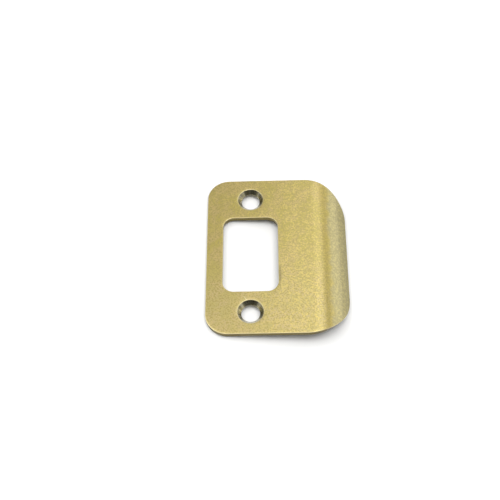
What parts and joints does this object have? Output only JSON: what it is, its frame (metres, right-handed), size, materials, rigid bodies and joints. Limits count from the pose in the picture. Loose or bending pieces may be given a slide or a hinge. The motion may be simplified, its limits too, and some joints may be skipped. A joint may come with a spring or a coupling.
{
  "type": "door strike plate",
  "caption": "Flat brass door strike plate with a rectangular latch opening, countersunk screw holes and a wide lip that curves back over the edge of the jamb.",
  "frame": {"origin": "middle of the latch opening, halfway between the screw holes, on the back of the sheet", "axes": "+Z out of the face, +Y up the door jamb along the line of the screw holes, +X towards the lip"},
  "size_m": [0.045, 0.057, 0.0067],
  "materials": {
    "antique_brass": "satin antique brass, finely mottled, brighter on worn edges and darker in the countersinks"
  },
  "bodies": {
    "root": {"strike_plate": "antique_brass"}
  },
  "joints": []
}
